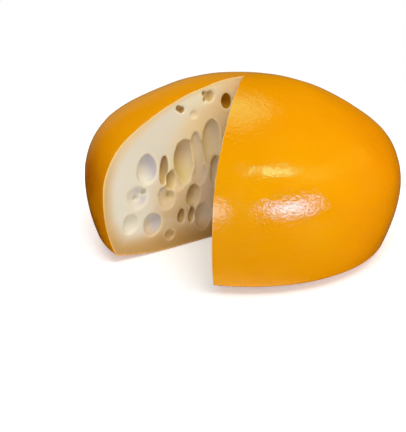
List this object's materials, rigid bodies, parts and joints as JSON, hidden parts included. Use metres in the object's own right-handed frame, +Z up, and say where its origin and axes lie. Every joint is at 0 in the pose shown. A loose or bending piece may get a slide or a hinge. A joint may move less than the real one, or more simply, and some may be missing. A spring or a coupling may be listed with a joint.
{
  "type": "maasdam cheese wheel",
  "caption": "Wheel of maasdam cheese with a domed top and bulging side in a waxy coating; a wedge is cut out and shows the round eyes in its paste.",
  "frame": {"origin": "on the wheel's axis, in the plane of the flat base that it rests on", "axes": "+Z up the wheel's axis; the picture looks along +Y, so the cut-out wedge opens towards -Y and a little towards -X"},
  "size_m": [0.3409, 0.3387, 0.175],
  "materials": {
    "coating": "glossy yellow-orange cheese coating, brushed on",
    "paste": "smooth ivory cheese paste, slightly moist"
  },
  "bodies": {
    "root": {"cheese_wheel": "coating"}
  },
  "joints": []
}
